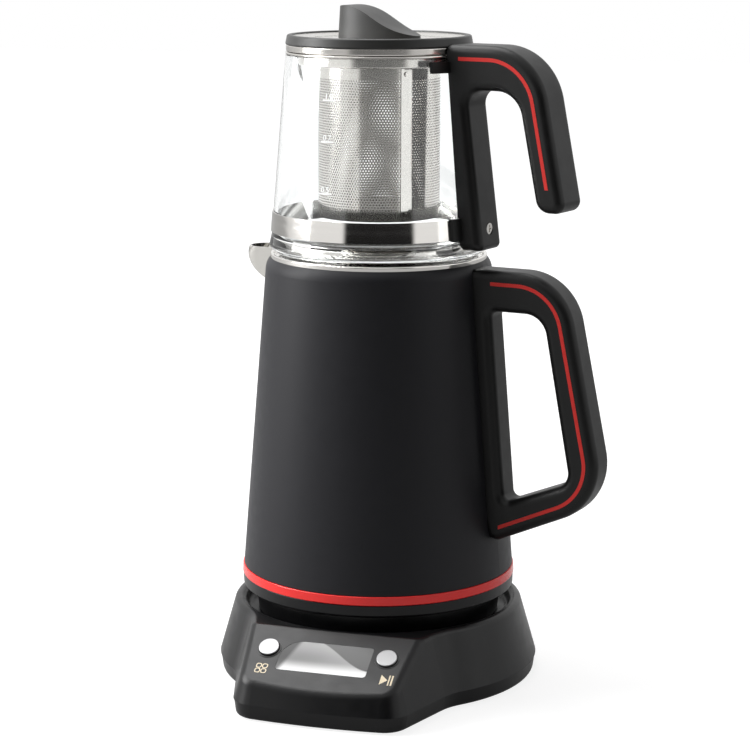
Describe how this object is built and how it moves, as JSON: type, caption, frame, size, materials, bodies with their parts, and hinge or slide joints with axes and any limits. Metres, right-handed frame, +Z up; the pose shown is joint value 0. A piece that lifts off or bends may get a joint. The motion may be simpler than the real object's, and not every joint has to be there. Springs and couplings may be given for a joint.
{
  "type": "tea maker",
  "caption": "Electric tea maker: round power base with a sloped control panel, coated kettle with a loop handle, glass teapot with a hook handle, steel basket and lid.",
  "frame": {"origin": "the kettle's axis on the table, at the underside of the foot ring", "axes": "+Z up, the control panel faces -Y"},
  "size_m": [0.2482, 0.2329, 0.4123],
  "materials": {
    "base_black": "satin moulded plastic",
    "rubber": "matt rubber",
    "steel": "brushed stainless steel",
    "polished_steel": "polished stainless steel",
    "button_silver": "satin silver plating",
    "jacket_black": "satin black powder coat",
    "red_trim": "glossy red",
    "handle_black": "satin moulded plastic",
    "inlay_red": "satin red",
    "clear_glass": "clear borosilicate glass",
    "display_glass": "dark tinted window",
    "board_green": "circuit board",
    "module_black": "electronic module",
    "aluminium": "cast aluminium",
    "brass": "machined brass",
    "lid_black": "satin moulded plastic"
  },
  "bodies": {
    "base": {"base_top_shell": "base_black", "base_tray": "base_black", "foot_ring": "rubber", "base_screws": "steel", "screw_pillars": "base_black", "cord_gland": "base_black", "power_connector": "base_black", "connector_pin": "brass", "display_window": "display_glass", "display_module": "module_black", "control_board": "board_green", "panel_switches": "module_black", "button_bezels": "button_silver", "power_board": "board_green", "power_relay": "module_black"},
    "left_button": {"button_left": "button_silver"},
    "right_button": {"button_right": "button_silver"},
    "kettle": {"kettle_shell": "jacket_black", "kettle_vessel": "steel", "kettle_spout": "steel", "kettle_rim": "polished_steel", "red_band": "red_trim", "kettle_ring": "base_black", "kettle_underside": "base_black", "kettle_socket": "base_black", "heater_plate": "aluminium", "heater_element": "aluminium", "kettle_handle": "handle_black", "kettle_handle_cover": "handle_black", "kettle_handle_inlays": "inlay_red", "kettle_handle_screws": "steel"},
    "teapot": {"teapot_glass": "clear_glass", "teapot_band": "polished_steel", "teapot_handle": "handle_black", "teapot_handle_cover": "handle_black", "teapot_handle_inlays": "inlay_red", "teapot_handle_screw": "polished_steel", "band_bracket": "handle_black", "neck_bracket": "handle_black"},
    "basket": {"basket_collar": "polished_steel", "basket_sleeve": "steel", "basket_bottom": "steel", "basket_strip": "steel", "basket_rivets": "polished_steel"},
    "lid": {"lid_ring": "lid_black", "lid_plate": "steel", "lid_skirt": "polished_steel", "lid_knob": "lid_black", "lid_screw": "steel"}
  },
  "joints": [
    {"name": "left_button_press", "type": "slide", "parent": "base", "child": "left_button", "axis": [0, 0.515, -0.8572], "range_m": [0, 0.001], "stiffness_N_per_m": 300},
    {"name": "right_button_press", "type": "slide", "parent": "base", "child": "right_button", "axis": [0, 0.515, -0.8572], "range_m": [0, 0.001], "stiffness_N_per_m": 300},
    {"name": "kettle_lift", "type": "slide", "parent": "base", "child": "kettle", "axis": [0, 0, 1], "range_m": [0, 0.16]},
    {"name": "teapot_lift", "type": "slide", "parent": "kettle", "child": "teapot", "axis": [0, 0, 1], "range_m": [0, 0.16]},
    {"name": "basket_lift", "type": "slide", "parent": "teapot", "child": "basket", "axis": [0, 0, 1], "range_m": [0, 0.16]},
    {"name": "lid_lift", "type": "slide", "parent": "basket", "child": "lid", "axis": [0, 0, 1], "range_m": [0, 0.12]}
  ]
}
